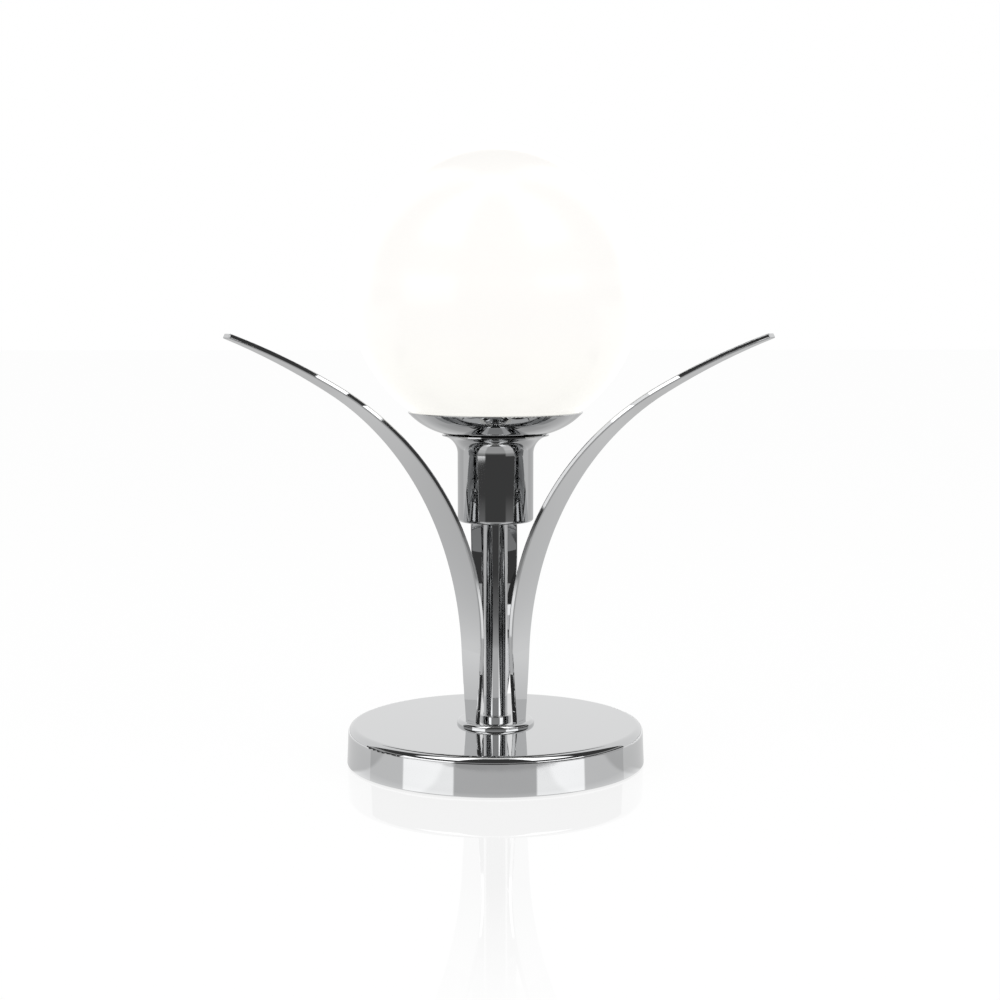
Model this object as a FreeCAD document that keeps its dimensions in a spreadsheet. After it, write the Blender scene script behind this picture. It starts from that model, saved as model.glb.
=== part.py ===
import FreeCAD, Part
import math
import os
import re
import Sketcher

# Table lamp with a glass globe: a round weighted base, a tube stem, three leaf blades that rise
# round it, and a cup with a gallery dish that carries an opal globe over a two-pin bulb.
# +Z is up, the origin is on the table on the stem's axis, and one blade stands behind, at +Y.

Vector = FreeCAD.Vector

# Driving sizes in millimetres and degrees, one cell each, in the order the lamp is stacked up.
SIZES = [
    # base
    ("pad_inset", 0.7), ("pad_thickness", 1.5), ("pad_edge", 0.4),
    ("cover_radius", 62.3), ("cover_taper", 0.5), ("cover_height", 15.9),
    ("cover_gap", 0.5), ("cover_wall", 1.0), ("cover_rounding", 3.0), ("cover_hem", 0.45),
    ("weight_gap", 0.7),
    ("nut_pocket_radius", 13.0), ("nut_pocket_depth", 9.8), ("channel_width", 9.0),
    ("terminal_pocket_width", 27.5), ("terminal_pocket_length", 27.0),
    ("terminal_pocket_depth", 11.9), ("rear_wall", 12.7), ("inlet_pocket_width", 13.0),
    # cord inlet bush, on a level axis through the rear wall
    ("inlet_level", 7.2), ("inlet_bore", 3.2), ("inlet_wall", 0.8), ("inlet_flange_radius", 5.4),
    ("inlet_flange_thickness", 1.3), ("inlet_lip", 0.5), ("inlet_tail", 2.0),
    ("inlet_rounding", 0.6), ("inlet_play", 0.2), ("inlet_hole_gap", 0.1),
    # clamping tube, nuts, washers and the clearance of every hole on the tube
    ("tie_radius", 4.0), ("tie_bore", 3.1), ("tie_clearance", 0.15), ("tie_thread_gap", 0.03),
    ("nut_flat_radius", 6.0), ("nut_height", 4.0), ("washer_radius", 6.6), ("washer_thickness", 0.6),
    # earth lug and terminal block
    ("lug_radius", 6.4), ("lug_thickness", 0.6), ("lug_tongue_width", 3.2), ("lug_reach", 12.5),
    ("lug_barrel_radius", 1.25), ("lug_barrel_length", 4.3), ("lug_barrel_drop", 0.45),
    ("block_width", 25.0), ("block_depth", 14.5), ("block_height", 11.0), ("block_gap", 1.0),
    ("pole_pitch", 8.0), ("pole_bore", 1.4), ("pole_rise", 3.2),
    ("clamp_screw_radius", 1.6), ("clamp_screw_gap", 0.15), ("clamp_screw_inset", 3.2),
    # rosette with the raised ring that locates the stem
    ("rosette_radius", 16.25), ("rosette_thickness", 2.0), ("rosette_rounding", 1.6),
    ("ring_radius", 6.6), ("ring_height", 2.0), ("ring_rounding", 0.6),
    # stem sleeve
    ("stem_radius", 5.0), ("stem_wall", 0.9), ("stem_length", 83.4), ("stem_gap", 0.05),
    # leaf blades: two bends in side view, two arcs in front view
    ("leaf_foot_radius", 12.2), ("leaf_thickness", 2.0), ("leaf_straight", 29.6),
    ("leaf_lower_bend", 126.5), ("leaf_lower_angle", 59.5),
    ("leaf_upper_bend", 297.0), ("leaf_upper_angle", 69.3),
    ("leaf_foot_width", 8.6), ("leaf_width", 19.8), ("leaf_widest_height", 79.0),
    ("leaf_shoulder_height", 133.6), ("leaf_shoulder_width", 14.5),
    ("leaf_tip_width", 4.0), ("leaf_tip_curve", 116.0), ("leaf_edge_rounding", 0.45),
    ("leaf_tab_width", 5.0), ("leaf_slot_gap", 0.06),
    # cup
    ("cup_radius", 15.7), ("cup_wall", 0.8), ("cup_height", 36.2), ("cup_corner", 1.3),
    ("flare_curve", 7.6), ("flange_radius", 22.1), ("flange_lip", 0.5),
    # threaded sleeve that stands in the cup
    ("sleeve_radius", 12.0), ("sleeve_wall", 0.8), ("sleeve_gap", 0.2),
    # gallery dish and the thread ring in it
    ("dish_radius", 36.1), ("dish_flat_radius", 20.0), ("dish_curve", 30.0),
    ("dish_rim_slope", 47.0), ("dish_wall", 0.7),
    ("thread_radius", 16.8), ("thread_wall", 1.4), ("thread_ring_height", 10.0),
    ("thread_floor", 2.6), ("thread_chamfer", 0.4), ("notch_width", 3.0), ("notch_depth", 2.0),
    # lampholder: bracket with a threaded bush, ceramic body, contacts
    ("bracket_radius", 9.6), ("bracket_plate", 1.0), ("bush_radius", 5.5), ("bush_height", 3.0),
    ("bracket_rise", 19.5), ("tie_end_rise", 21.0),
    ("holder_radius", 10.0), ("holder_height", 26.2), ("holder_chamfer", 0.8),
    ("cavity_radius", 6.1), ("cavity_depth", 7.4), ("pin_pitch", 9.0), ("feed_bore", 1.3),
    ("chamber_long", 4.8), ("chamber_wide", 3.0), ("chamber_top_cover", 3.0),
    ("chamber_height", 11.6), ("pin_slot_gap", 0.3),
    ("contact_leaf", 0.4), ("contact_gap", 0.05), ("contact_depth", 4.0), ("contact_height", 10.6),
    ("holder_screw_place", 7.5), ("holder_screw_radius", 1.1), ("holder_screw_head", 2.1),
    ("holder_screw_head_height", 1.5), ("holder_screw_length", 9.0), ("holder_screw_gap", 0.1),
    # wiring
    ("lead_radius", 0.85), ("lead_bend", 2.6), ("lead_spacing", 2.3), ("lead_level", 3.2),
    # globe, its collar and gasket
    ("globe_radius", 60.0), ("globe_wall", 3.0), ("globe_neck_radius", 19.0),
    ("globe_rim_drop", 55.8), ("collar_gap", 0.2), ("bond_gap", 0.1),
    ("collar_flange_radius", 20.9), ("collar_flange_thickness", 0.7), ("collar_height", 10.2),
    ("gasket_thickness", 1.0), ("gasket_inner_gap", 0.7), ("gasket_outer_gap", 0.4),
    # bulb
    ("pin_thickness", 1.0), ("pin_width", 2.4), ("pin_length", 8.4),
    ("bulb_base_length", 15.4), ("bulb_base_width", 9.0), ("bulb_base_height", 7.0),
    ("bulb_radius", 8.0), ("bulb_seat_height", 2.0), ("bulb_length", 36.0), ("bulb_wall", 1.0),
    ("strip_width", 8.0), ("strip_thickness", 1.2), ("strip_height", 27.0),
]

VOLUME_TOLERANCE = 0.02  # share by which a swept tube may differ from section times length
LEAST_CUT = 1e-7  # share of a body's volume that every pocket has to remove

doc = FreeCAD.newDocument("globe_lamp")
sheet = doc.addObject("Spreadsheet::Sheet", "dims")
for row, (alias, number) in enumerate(SIZES, start=1):
    sheet.set(f"A{row}", alias)
    sheet.set(f"B{row}", str(number))
    sheet.setAlias(f"B{row}", alias)
doc.recompute()

# Levels above the table, and radii that follow from several sizes, each an expression in the
# sheet's names.
PAD_TOP = "pad_thickness"
COVER_TOP = "(cover_gap + cover_height)"
COVER_INSIDE = f"({COVER_TOP} - cover_wall)"
COVER_TOP_RADIUS = "(cover_radius - cover_taper)"
WEIGHT_RADIUS = f"({COVER_TOP_RADIUS} - cover_wall - weight_gap)"
WEIGHT_CHAMFER = "(cover_rounding - cover_wall)"
PAD_RADIUS = f"({WEIGHT_RADIUS} - pad_inset)"
POCKET_END = f"({WEIGHT_RADIUS} - rear_wall)"
POCKET_START = f"({POCKET_END} - terminal_pocket_length)"
BLOCK_END = f"({POCKET_END} - block_gap)"
BLOCK_START = f"({BLOCK_END} - block_depth)"
TIE_HOLE = "(tie_radius + tie_clearance)"
TIE_THREAD = "(tie_radius + tie_thread_gap)"

BASE_WASHER_TOP = f"({PAD_TOP} + nut_pocket_depth)"
LUG_TOP = f"({BASE_WASHER_TOP} - washer_thickness)"
BASE_NUT_TOP = f"({LUG_TOP} - lug_thickness)"
BASE_NUT_FOOT = f"({BASE_NUT_TOP} - nut_height)"
BLOCK_TOP = f"({PAD_TOP} + terminal_pocket_depth)"
BLOCK_FOOT = f"({BLOCK_TOP} - block_height)"
POLE_LEVEL = f"({BLOCK_FOOT} + pole_rise)"

ROSETTE_TOP = f"({COVER_TOP} + rosette_thickness)"
CUP_FOOT = f"({ROSETTE_TOP} + stem_length)"
CUP_FLOOR = f"({CUP_FOOT} + cup_wall)"
CUP_RIM = f"({CUP_FOOT} + cup_height)"
FLARE_AXIS = "(cup_radius + flare_curve)"
FLARE_LEVEL = (f"({CUP_RIM} - flange_lip"
               f" - sqrt(flare_curve^2 - ({FLARE_AXIS} - flange_radius)^2))")
SLEEVE_FLOOR = f"({CUP_FLOOR} + sleeve_wall)"
CUP_NUT_FOOT = f"({SLEEVE_FLOOR} + washer_thickness)"

DISH_FLOOR = f"({CUP_RIM} + dish_wall)"
DISH_AXIS = "(dish_radius - dish_curve * sin(dish_rim_slope))"
DISH_CENTRE = f"({CUP_RIM} + sqrt(dish_curve^2 - (dish_flat_radius - {DISH_AXIS})^2))"
RING_FLOOR = f"({DISH_FLOOR} + thread_floor)"
RING_TOP = f"({DISH_FLOOR} + thread_ring_height)"
SLEEVE_HOLE = "(sleeve_radius + sleeve_gap)"

COLLAR_FOOT = f"({DISH_FLOOR} + gasket_thickness)"
GLOBE_RIM = f"({COLLAR_FOOT} + collar_flange_thickness)"
GLOBE_CENTRE = f"({GLOBE_RIM} + globe_rim_drop)"
COLLAR_BORE = "(thread_radius + collar_gap)"

BRACKET_FOOT = f"({SLEEVE_FLOOR} + bracket_rise - bracket_plate)"
HOLDER_FOOT = f"({BRACKET_FOOT} + bracket_plate)"
HOLDER_TOP = f"({HOLDER_FOOT} + holder_height)"
CAVITY_TOP = f"({HOLDER_FOOT} + cavity_depth)"
CHAMBER_TOP = f"({HOLDER_TOP} - chamber_top_cover)"
CHAMBER_FOOT = f"({CHAMBER_TOP} - chamber_height)"
TIE_END = f"({SLEEVE_FLOOR} + tie_end_rise)"
BULB_SEAT = f"({HOLDER_TOP} + bulb_base_height)"
DOME_FOOT = f"({BULB_SEAT} + bulb_seat_height)"


def size(text):
    """What an expression in the sheet's names works out to now."""
    result = sheet.evalExpression(text)
    return float(getattr(result, "Value", result))


def linked(text):
    """The same expression as the other objects of the document write it."""
    return re.sub(r"\b[a-z]+(_[a-z]+)+\b", lambda name: "dims." + name.group(0), text)


def new_body(label):
    body = doc.addObject("PartDesign::Body", label)
    body.Label = label
    return body


def new_sketch(body, name, role, level="0"):
    """Sketch on one of the body's own origin planes, moved along the plane's normal by level."""
    sketch = body.newObject("Sketcher::SketchObject", f"{body.Label}_{name}")
    origin_plane = next(f for f in body.Origin.OriginFeatures if f.Role == role)
    sketch.AttachmentSupport = [(origin_plane, "")]
    sketch.MapMode = "FlatFace"
    if level != "0":
        sketch.setExpression("AttachmentOffset.Base.z", linked(level))
    return sketch


def drive(sketch, constraint, text):
    """Add a constraint whose value is the expression text."""
    index = sketch.addConstraint(constraint)
    sketch.renameConstraint(index, f"size_{index}")
    sketch.setExpression(f"Constraints.size_{index}", linked(text))


def circle(sketch, radius, x="0", y="0"):
    centre = Vector(size(x), size(y), 0)
    index = sketch.addGeometry(Part.Circle(centre, Vector(0, 0, 1), size(radius)), False)
    drive(sketch, Sketcher.Constraint("Radius", index, size(radius)), radius)
    drive(sketch, Sketcher.Constraint("DistanceX", -1, 1, index, 3, size(x)), x)
    drive(sketch, Sketcher.Constraint("DistanceY", -1, 1, index, 3, size(y)), y)


def arc_edge(start, end, radius):
    """Arc from start to end: its centre lies left of the way for radius > 0, right for < 0."""
    chord = end - start
    middle = (start + end) * 0.5
    side = Vector(-chord.y, chord.x, 0).normalize() * math.copysign(1.0, radius)
    centre = middle + side * math.sqrt(max(radius ** 2 - (chord.Length / 2) ** 2, 0.0))
    first, last = (start, end) if radius > 0 else (end, start)
    angles = [math.atan2(p.y - centre.y, p.x - centre.x) for p in (first, last)]
    if angles[1] < angles[0]:
        angles[1] += 2 * math.pi
    return Part.ArcOfCircle(Part.Circle(centre, Vector(0, 0, 1), abs(radius)), *angles)


def outline(sketch, corners):
    """Closed outline through corners, each (x, y) or (x, y, radius, side).

    The longer form is reached by an arc of that radius, whose centre lies left (+1) or right
    (-1) of the way.
    """
    points = [Vector(size(corner[0]), size(corner[1]), 0) for corner in corners]
    starts, ends = [], []
    for number, corner in enumerate(corners):
        before = points[number - 1]
        here = points[number]
        if len(corner) == 2:
            index = sketch.addGeometry(Part.LineSegment(before, here), False)
            starts.append((index, 1))
            ends.append((index, 2))
        else:
            radius, side = size(corner[2]), corner[3]
            index = sketch.addGeometry(arc_edge(before, here, radius * side), False)
            starts.append((index, 1 if side > 0 else 2))
            ends.append((index, 2 if side > 0 else 1))
            drive(sketch, Sketcher.Constraint("Radius", index, radius), corner[2])
    for number, corner in enumerate(corners):
        following = starts[(number + 1) % len(corners)]
        sketch.addConstraint(Sketcher.Constraint("Coincident", *ends[number], *following))
        place = points[number]
        drive(sketch, Sketcher.Constraint("DistanceX", -1, 1, *ends[number], place.x), corner[0])
        drive(sketch, Sketcher.Constraint("DistanceY", -1, 1, *ends[number], place.y), corner[1])


def rectangle(sketch, left, right, low, high):
    outline(sketch, [(left, low), (right, low), (right, high), (left, high)])


def extrude(body, kind, sketch, length=None, reverse=False, both_ways=False):
    """Pad or Pocket of a sketch, right through where no length is given.

    reverse turns its way and both_ways spreads it evenly to both sides of the sketch.
    """
    feature = body.newObject(f"PartDesign::{kind}", f"{sketch.Name}_{kind.lower()}")
    feature.Profile = sketch
    if length is None:
        feature.Type = "ThroughAll"
    else:
        feature.setExpression("Length", linked(length))
    feature.Reversed = reverse
    if both_ways:
        feature.SideType = "Symmetric"
    sketch.Visibility = False
    return feature


def turned(label, corners, name="profile"):
    """Body turned about +Z from an outline of (radius, level) corners."""
    body = new_body(label)
    sketch = new_sketch(body, name, "XZ_Plane")
    outline(sketch, corners)
    turn = body.newObject("PartDesign::Revolution", f"{label}_turn")
    turn.Profile = sketch
    turn.ReferenceAxis = (sketch, ["V_Axis"])
    turn.Angle = 360
    return body


def ring(label, bore, radius, foot, top):
    """Plain ring or tube between two levels."""
    return turned(label, [(bore, foot), (radius, foot), (radius, top), (bore, top)])


def pattern(body, feature, count):
    """Repeat a feature round the body's own Z axis."""
    polar = body.newObject("PartDesign::PolarPattern", f"{feature.Name}_round")
    polar.Originals = [feature]
    polar.Axis = (next(f for f in body.Origin.OriginFeatures if f.Role == "Z_Axis"), [""])
    polar.Angle = 360
    polar.Occurrences = count
    body.Tip = polar
    return polar


def mirror(body, features, role):
    """Mirror features in one of the body's own origin planes."""
    mirrored = body.newObject("PartDesign::Mirrored", f"{features[0].Name}_mirrored")
    mirrored.Originals = features
    mirrored.MirrorPlane = (next(f for f in body.Origin.OriginFeatures if f.Role == role), [""])
    body.Tip = mirrored
    return mirrored


def round_edges(body, test, radius):
    """Fillet those edges of the body's present tip that pass the test."""
    base = body.Tip
    numbered = enumerate(base.Shape.Edges, start=1)
    names = [f"Edge{number}" for number, edge in numbered if test(edge)]
    fillet = body.newObject("PartDesign::Fillet", f"{body.Label}_fillet")
    fillet.Base = (base, names)
    fillet.setExpression("Radius", linked(radius))


def nut(label, foot):
    """Hexagon nut on the clamping tube: across flats is twice nut_flat_radius."""
    body = new_body(label)
    sketch = new_sketch(body, "hexagon", "XY_Plane", foot)
    corner = "(nut_flat_radius / cos(30))"
    outline(sketch, [(f"{corner} * cos({60 * k})", f"{corner} * sin({60 * k})") for k in range(6)])
    circle(sketch, TIE_THREAD)
    extrude(body, "Pad", sketch, "nut_height")
    return body


# ---- base ----------------------------------------------------------------------------------

# Pressed steel cover: slightly tapered wall, rounded top edge, small rolled hem at the foot.
cover = turned("base_cover", [
    (TIE_HOLE, COVER_INSIDE),
    (f"{COVER_TOP_RADIUS} - cover_rounding", COVER_INSIDE),
    (f"{COVER_TOP_RADIUS} - cover_wall", f"{COVER_TOP} - cover_rounding",
     "cover_rounding - cover_wall", -1),
    ("cover_radius - cover_wall", "cover_gap + cover_hem"),
    ("cover_radius - cover_wall + cover_hem", "cover_gap", "cover_hem", 1),
    ("cover_radius - cover_hem", "cover_gap"),
    ("cover_radius", "cover_gap + cover_hem", "cover_hem", 1),
    (COVER_TOP_RADIUS, f"{COVER_TOP} - cover_rounding"),
    (f"{COVER_TOP_RADIUS} - cover_rounding", COVER_TOP, "cover_rounding", 1),
    (TIE_HOLE, COVER_TOP),
])
inlet_hole = new_sketch(cover, "inlet_hole", "XZ_Plane")
circle(inlet_hole, "inlet_bore + inlet_wall + inlet_hole_gap", "0", "inlet_level")
extrude(cover, "Pocket", inlet_hole, "cover_radius + cover_wall")

# Cast iron weight that fills the cover; its underside is pocketed for the nut and the wiring.
weight = turned("base_weight", [
    (TIE_HOLE, PAD_TOP),
    (WEIGHT_RADIUS, PAD_TOP),
    (WEIGHT_RADIUS, f"{COVER_INSIDE} - {WEIGHT_CHAMFER}"),
    (f"{WEIGHT_RADIUS} - {WEIGHT_CHAMFER}", COVER_INSIDE),
    (TIE_HOLE, COVER_INSIDE),
])
nut_pocket = new_sketch(weight, "nut_pocket", "XY_Plane", PAD_TOP)
circle(nut_pocket, "nut_pocket_radius")
extrude(weight, "Pocket", nut_pocket, "nut_pocket_depth", reverse=True)
channel = new_sketch(weight, "channel", "XY_Plane", PAD_TOP)
rectangle(channel, "-channel_width / 2", "channel_width / 2", "0", POCKET_END)
extrude(weight, "Pocket", channel, "nut_pocket_depth", reverse=True)
terminal_pocket = new_sketch(weight, "terminal_pocket", "XY_Plane", PAD_TOP)
rectangle(terminal_pocket, "-terminal_pocket_width / 2", "terminal_pocket_width / 2",
          POCKET_START, POCKET_END)
extrude(weight, "Pocket", terminal_pocket, "terminal_pocket_depth", reverse=True)
inlet_pocket = new_sketch(weight, "inlet_pocket", "XY_Plane", PAD_TOP)
rectangle(inlet_pocket, "-inlet_pocket_width / 2", "inlet_pocket_width / 2",
          POCKET_START, "cover_radius")
extrude(weight, "Pocket", inlet_pocket, "terminal_pocket_depth", reverse=True)

# Foam pad glued under the weight; the lamp stands on it.
pad = turned("base_pad", [
    ("0", "0"),
    (f"{PAD_RADIUS} - pad_edge", "0"),
    (PAD_RADIUS, "pad_edge", "pad_edge", 1),
    (PAD_RADIUS, PAD_TOP),
    ("0", PAD_TOP),
])

# Snap-in bush of the cord inlet, turned about its own axis and laid into the rear wall: its
# flange is outside, its neck passes the wall and its lip snaps behind it.
INLET_OUTSIDE = "inlet_flange_thickness"
INLET_SNAP = "(cover_taper + cover_wall + inlet_play)"
inlet_bush = turned("cord_inlet_bush", [
    ("inlet_bore", f"-{INLET_SNAP} - inlet_tail"),
    ("inlet_bore + inlet_wall", f"-{INLET_SNAP} - inlet_tail"),
    ("inlet_bore + inlet_wall + inlet_lip", f"-{INLET_SNAP} - inlet_lip"),
    ("inlet_bore + inlet_wall + inlet_lip", f"-{INLET_SNAP}"),
    ("inlet_bore + inlet_wall", f"-{INLET_SNAP}"),
    ("inlet_bore + inlet_wall", "0"),
    ("inlet_flange_radius", "0"),
    ("inlet_flange_radius", f"{INLET_OUTSIDE} - inlet_rounding"),
    ("inlet_flange_radius - inlet_rounding", INLET_OUTSIDE, "inlet_rounding", 1),
    ("inlet_bore", INLET_OUTSIDE),
])
inlet_bush.Placement.Rotation = FreeCAD.Rotation(Vector(1, 0, 0), -90)
inlet_bush.setExpression("Placement.Base.y", linked("cover_radius"))
inlet_bush.setExpression("Placement.Base.z", linked("inlet_level"))

# ---- clamping tube and what it clamps -------------------------------------------------------

tie_tube = ring("tie_tube", "tie_bore", "tie_radius", BASE_NUT_FOOT, TIE_END)
base_washer = ring("base_washer", TIE_HOLE, "washer_radius", LUG_TOP, BASE_WASHER_TOP)
base_nut = nut("base_nut", BASE_NUT_FOOT)
cup_washer = ring("cup_washer", TIE_HOLE, "washer_radius", SLEEVE_FLOOR, CUP_NUT_FOOT)
cup_nut = nut("cup_nut", CUP_NUT_FOOT)

# Earth lug under the base nut: an eye, a tongue and a crimped barrel that points to the rear.
lug = new_body("earth_lug")
lug_eye = new_sketch(lug, "eye", "XY_Plane", BASE_NUT_TOP)
circle(lug_eye, "lug_radius")
extrude(lug, "Pad", lug_eye, "lug_thickness")
lug_tongue = new_sketch(lug, "tongue", "XY_Plane", BASE_NUT_TOP)
rectangle(lug_tongue, "-lug_tongue_width / 2", "lug_tongue_width / 2", "lug_radius / 2", "lug_reach")
extrude(lug, "Pad", lug_tongue, "lug_thickness")
lug_barrel = new_sketch(lug, "barrel", "XZ_Plane", "-lug_reach")
circle(lug_barrel, "lug_barrel_radius", "0", f"{LUG_TOP} - lug_thickness / 2 - lug_barrel_drop")
extrude(lug, "Pad", lug_barrel, "lug_barrel_length")
lug_hole = new_sketch(lug, "hole", "XY_Plane", LUG_TOP)
circle(lug_hole, TIE_HOLE)
extrude(lug, "Pocket", lug_hole, "2 * lug_thickness")

# Three-pole terminal block, glued into its pocket; wires enter along Y, clamp screws from below.
block = new_body("terminal_block")
block_box = new_sketch(block, "box", "XY_Plane", BLOCK_FOOT)
rectangle(block_box, "-block_width / 2", "block_width / 2", BLOCK_START, BLOCK_END)
extrude(block, "Pad", block_box, "block_height")
poles = new_sketch(block, "poles", "XZ_Plane", f"-{BLOCK_END}")
screw_holes = new_sketch(block, "screw_holes", "XY_Plane", BLOCK_FOOT)
SCREW_ROWS = (f"{BLOCK_START} + clamp_screw_inset", f"{BLOCK_END} - clamp_screw_inset")
POLE_PLACES = ("-pole_pitch", "0", "pole_pitch")
for pole in POLE_PLACES:
    circle(poles, "pole_bore", pole, POLE_LEVEL)
    for screw_row in SCREW_ROWS:
        circle(screw_holes, "clamp_screw_radius + clamp_screw_gap", pole, screw_row)
extrude(block, "Pocket", poles, "block_depth", reverse=True)
extrude(block, "Pocket", screw_holes, "pole_rise", reverse=True)

clamp_screws = new_body("terminal_screws")
screw_shanks = new_sketch(clamp_screws, "shanks", "XY_Plane", f"{BLOCK_FOOT} + clamp_screw_gap")
for pole in POLE_PLACES:
    for screw_row in SCREW_ROWS:
        circle(screw_shanks, "clamp_screw_radius", pole, screw_row)
extrude(clamp_screws, "Pad", screw_shanks, "pole_rise - lead_radius - 2 * clamp_screw_gap")

# ---- rosette, stem and leaf blades -----------------------------------------------------------

# Rosette: round-edged disc, with the raised ring that locates the stem and three leaf slots.
rosette = turned("rosette", [
    (TIE_HOLE, COVER_TOP),
    ("rosette_radius", COVER_TOP),
    ("rosette_radius", f"{ROSETTE_TOP} - rosette_rounding"),
    ("rosette_radius - rosette_rounding", ROSETTE_TOP, "rosette_rounding", 1),
    ("ring_radius", ROSETTE_TOP),
    ("ring_radius", f"{ROSETTE_TOP} + ring_height - ring_rounding"),
    ("ring_radius - ring_rounding", f"{ROSETTE_TOP} + ring_height", "ring_rounding", 1),
    ("stem_radius + stem_gap", f"{ROSETTE_TOP} + ring_height"),
    ("stem_radius + stem_gap", ROSETTE_TOP),
    (TIE_HOLE, ROSETTE_TOP),
])
leaf_slot = new_sketch(rosette, "leaf_slot", "XY_Plane", ROSETTE_TOP)
LEAF_INSIDE = "(leaf_foot_radius - leaf_thickness)"
rectangle(leaf_slot, "-leaf_tab_width / 2 - leaf_slot_gap", "leaf_tab_width / 2 + leaf_slot_gap",
          f"{LEAF_INSIDE} - leaf_slot_gap", "leaf_foot_radius + leaf_slot_gap")
slot_cut = extrude(rosette, "Pocket", leaf_slot, "2 * rosette_thickness")
pattern(rosette, slot_cut, 3)

stem = ring("stem_sleeve", "stem_radius - stem_wall", "stem_radius", ROSETTE_TOP, CUP_FOOT)

# Leaf blade in its own frame, where +X points away from the stem. LEAF_n are the corners of the
# outer face in side view and SLOPE_n the blade's lean there.
BEND_FOOT = f"({ROSETTE_TOP} + leaf_straight)"
BEND_MIDDLE = ("(leaf_foot_radius + leaf_lower_bend * (1 - cos(leaf_lower_angle)))",
               f"({BEND_FOOT} + leaf_lower_bend * sin(leaf_lower_angle))")
BEND_END = (f"({BEND_MIDDLE[0]}"
            " + leaf_upper_bend * (cos(leaf_lower_angle) - cos(leaf_upper_angle)))",
            f"({BEND_MIDDLE[1]}"
            " + leaf_upper_bend * (sin(leaf_upper_angle) - sin(leaf_lower_angle)))")


def inner_face(corner, angle):
    """The point of the blade's inner face that lies across from a corner of the outer face."""
    return (f"({corner[0]} - leaf_thickness * cos({angle}))",
            f"({corner[1]} + leaf_thickness * sin({angle}))")


INNER_END = inner_face(BEND_END, "leaf_upper_angle")
INNER_MIDDLE = inner_face(BEND_MIDDLE, "leaf_lower_angle")
LEAF_CUT_TOP = f"({INNER_END[1]} + leaf_thickness)"
LEAF_RISE = "(leaf_shoulder_height - leaf_widest_height)"
LEAF_DROP = "((leaf_width - leaf_shoulder_width) / 2)"
LEAF_SIDE = f"(({LEAF_RISE}^2 + {LEAF_DROP}^2) / (2 * {LEAF_DROP}))"
LEAF_FOOT_DROP = "((leaf_width - leaf_foot_width) / 2)"
LEAF_FOOT_SIDE = (f"((leaf_widest_height^2 + {LEAF_FOOT_DROP}^2) / (2 * {LEAF_FOOT_DROP}))")


def leaf_blade(label, azimuth):
    """Bent strip: side view padded across, then both flanks cut to the leaf's front outline."""
    body = new_body(label)
    side_view = new_sketch(body, "side_view", "XZ_Plane")
    outline(side_view, [
        (LEAF_INSIDE, ROSETTE_TOP),
        ("leaf_foot_radius", ROSETTE_TOP),
        ("leaf_foot_radius", BEND_FOOT),
        (*BEND_MIDDLE, "leaf_lower_bend", -1),
        (*BEND_END, "leaf_upper_bend", -1),
        INNER_END,
        (*INNER_MIDDLE, "leaf_upper_bend + leaf_thickness", 1),
        (LEAF_INSIDE, BEND_FOOT, "leaf_lower_bend + leaf_thickness", 1),
    ])
    extrude(body, "Pad", side_view, "leaf_width", both_ways=True)
    for name, sign, left_hand in (("left_flank", "-", 1), ("right_flank", "", -1)):
        flank = new_sketch(body, name, "YZ_Plane")
        widest = f"{ROSETTE_TOP} + leaf_widest_height"
        shoulder = f"{ROSETTE_TOP} + leaf_shoulder_height"
        outline(flank, [
            (f"{sign}leaf_width", ROSETTE_TOP),
            (f"{sign}leaf_foot_width / 2", ROSETTE_TOP),
            (f"{sign}leaf_width / 2", widest, LEAF_FOOT_SIDE, -left_hand),
            (f"{sign}leaf_shoulder_width / 2", shoulder, LEAF_SIDE, -left_hand),
            (f"{sign}leaf_tip_width / 2", LEAF_CUT_TOP, "leaf_tip_curve", -left_hand),
            (f"{sign}leaf_width", LEAF_CUT_TOP),
        ])
        extrude(body, "Pocket", flank, both_ways=True)
    doc.recompute()
    thickness = size("leaf_thickness")
    tip_level = size(BEND_END[1]) - size("leaf_edge_rounding")
    round_edges(body, lambda edge: edge.BoundBox.ZLength > thickness
                or edge.BoundBox.ZMin > tip_level, "leaf_edge_rounding")
    tab = new_sketch(body, "tab", "XY_Plane", COVER_TOP)
    rectangle(tab, LEAF_INSIDE, "leaf_foot_radius", "-leaf_tab_width / 2", "leaf_tab_width / 2")
    extrude(body, "Pad", tab, "rosette_thickness")
    body.Placement.Rotation = FreeCAD.Rotation(Vector(0, 0, 1), azimuth)
    return body


leaf_blade("leaf_back", 90)
leaf_blade("leaf_left", 210)
leaf_blade("leaf_right", 330)

# ---- cup, sleeve and dish ----------------------------------------------------------------------

# Spun cup: flat floor with the tube's hole, small corner, straight wall and flared mouth.
FLARE_TOP_INSIDE = (f"({FLARE_AXIS} - sqrt((flare_curve + cup_wall)^2"
                    f" - ({CUP_RIM} - {FLARE_LEVEL})^2))")
cup = turned("holder_cup", [
    (TIE_HOLE, CUP_FOOT),
    ("cup_radius - cup_corner", CUP_FOOT),
    ("cup_radius", f"{CUP_FOOT} + cup_corner", "cup_corner", 1),
    ("cup_radius", FLARE_LEVEL),
    ("flange_radius", f"{CUP_RIM} - flange_lip", "flare_curve", -1),
    ("flange_radius", CUP_RIM),
    (FLARE_TOP_INSIDE, CUP_RIM),
    ("cup_radius - cup_wall", FLARE_LEVEL, "flare_curve + cup_wall", 1),
    ("cup_radius - cup_wall", f"{CUP_FOOT} + cup_corner"),
    ("cup_radius - cup_corner", CUP_FLOOR, "cup_corner - cup_wall", -1),
    (TIE_HOLE, CUP_FLOOR),
])

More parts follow.
